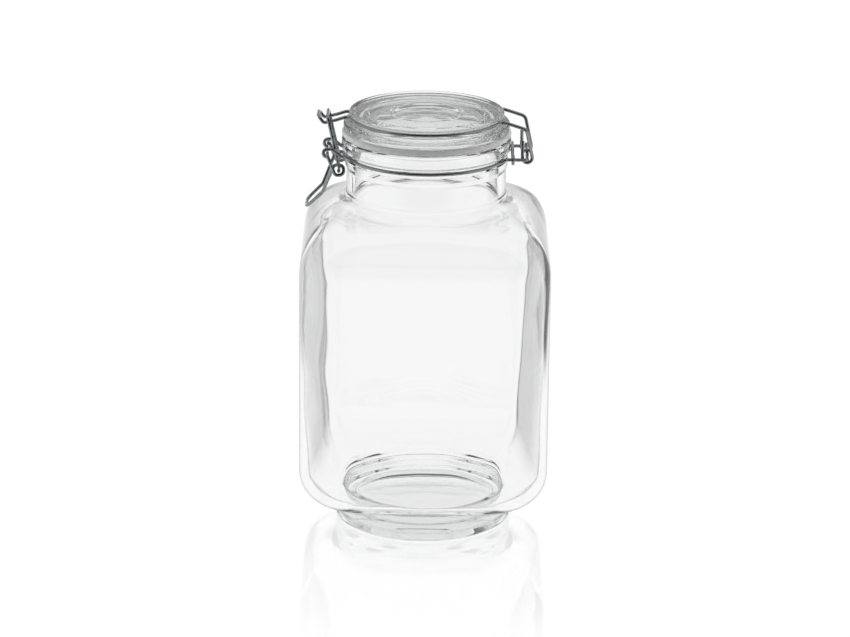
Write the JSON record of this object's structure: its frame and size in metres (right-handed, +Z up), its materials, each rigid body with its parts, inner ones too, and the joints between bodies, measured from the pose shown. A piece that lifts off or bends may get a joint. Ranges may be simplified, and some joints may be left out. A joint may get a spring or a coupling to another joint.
{
  "type": "bail clamp jar",
  "caption": "Square-bodied glass storage jar with a round foot and neck, a glass lid on a ring seal, and a sprung wire clamp and hinge.",
  "frame": {"origin": "centre of the round foot's resting plane", "axes": "+Z up along the neck's axis; the clamp lies towards -X and the hinge towards +X; +Y is the far side when the clamp is at the left"},
  "size_m": [0.145, 0.145, 0.248],
  "materials": {
    "jar_glass": "clear moulded soda-lime glass",
    "lid_glass": "clear pressed soda-lime glass",
    "seal_silicone": "translucent moulded silicone",
    "clamp_wire": "bright drawn stainless wire"
  },
  "bodies": {
    "jar": {"glass_jar": "jar_glass", "neck_wire_near": "clamp_wire", "neck_wire_far": "clamp_wire", "rear_tie": "clamp_wire"},
    "lid": {"glass_lid": "lid_glass", "seal_ring": "seal_silicone", "lid_wire": "clamp_wire"},
    "lever": {"clamp_lever": "clamp_wire"},
    "link": {"clamp_link": "clamp_wire"}
  },
  "joints": [
    {"name": "lid_hinge", "type": "hinge", "parent": "jar", "child": "lid", "pos_m": [0.0583, 0, 0.223], "axis": [0, 1, 0], "range_deg": [0, 180]},
    {"name": "lever_pivot", "type": "hinge", "parent": "jar", "child": "lever", "pos_m": [-0.0572, 0, 0.2248], "axis": [0, 1, 0], "range_deg": [0, 150]},
    {"name": "link_pivot", "type": "hinge", "parent": "lever", "child": "link", "pos_m": [-0.0505, 0, 0.2159], "axis": [0, 1, 0], "range_deg": [-105.01, 0]}
  ],
  "couplings": [
    {"joint": "link_pivot", "follows": "lever_pivot", "ratio": -0.7}
  ]
}
